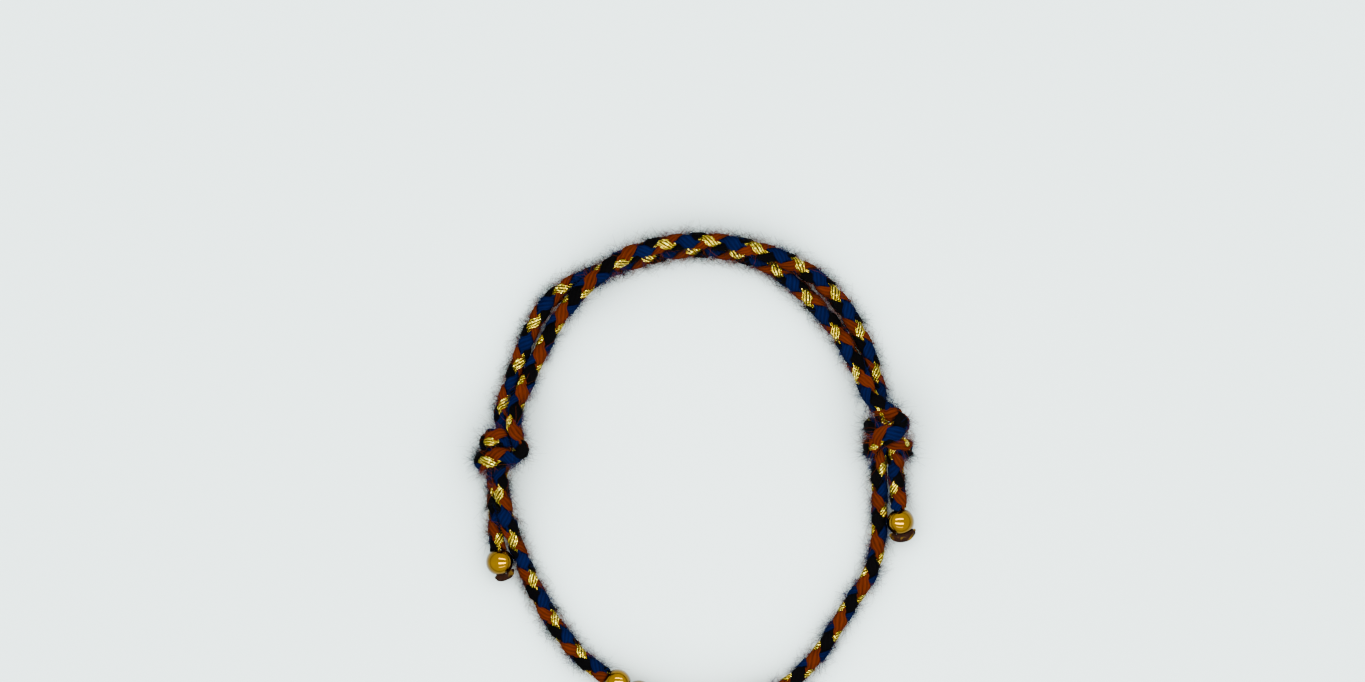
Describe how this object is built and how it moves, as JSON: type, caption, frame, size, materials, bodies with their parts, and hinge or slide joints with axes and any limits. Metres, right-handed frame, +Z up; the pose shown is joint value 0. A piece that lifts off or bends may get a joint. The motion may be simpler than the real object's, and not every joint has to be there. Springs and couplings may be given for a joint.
{
  "type": "cord bracelet",
  "caption": "Braided cord bracelet with two sliding knots that close it, a row of round metal beads and a bead on each tail.",
  "frame": {"origin": "on the surface that the bracelet lies on, under the middle of its outline", "axes": "+Z up from the surface, +Y across the hollow from the row of beads to the doubled stretch, +X to the right seen from above with the beads nearest"},
  "size_m": [0.064, 0.0711, 0.0071],
  "materials": {
    "braid": "four-strand braid in black, blue, rust and metallic gold thread",
    "bead_metal": "polished gold-coloured plating",
    "melted_end": "cord end melted to a dark brown stub"
  },
  "bodies": {
    "root": {"left_tail": "braid", "left_knot": "braid", "top_strand": "braid", "right_knot_core": "braid", "right_side": "braid", "bead_thread": "braid", "left_side": "braid", "left_knot_core": "braid", "under_strand": "braid", "right_knot": "braid", "right_tail": "braid", "row_bead_1": "bead_metal", "row_bead_2": "bead_metal", "row_bead_3": "bead_metal", "row_bead_4": "bead_metal", "row_bead_5": "bead_metal", "row_bead_6": "bead_metal", "row_bead_7": "bead_metal", "left_tail_bead": "bead_metal", "right_tail_bead": "bead_metal", "left_end_stub": "melted_end", "right_end_stub": "melted_end"}
  },
  "joints": []
}
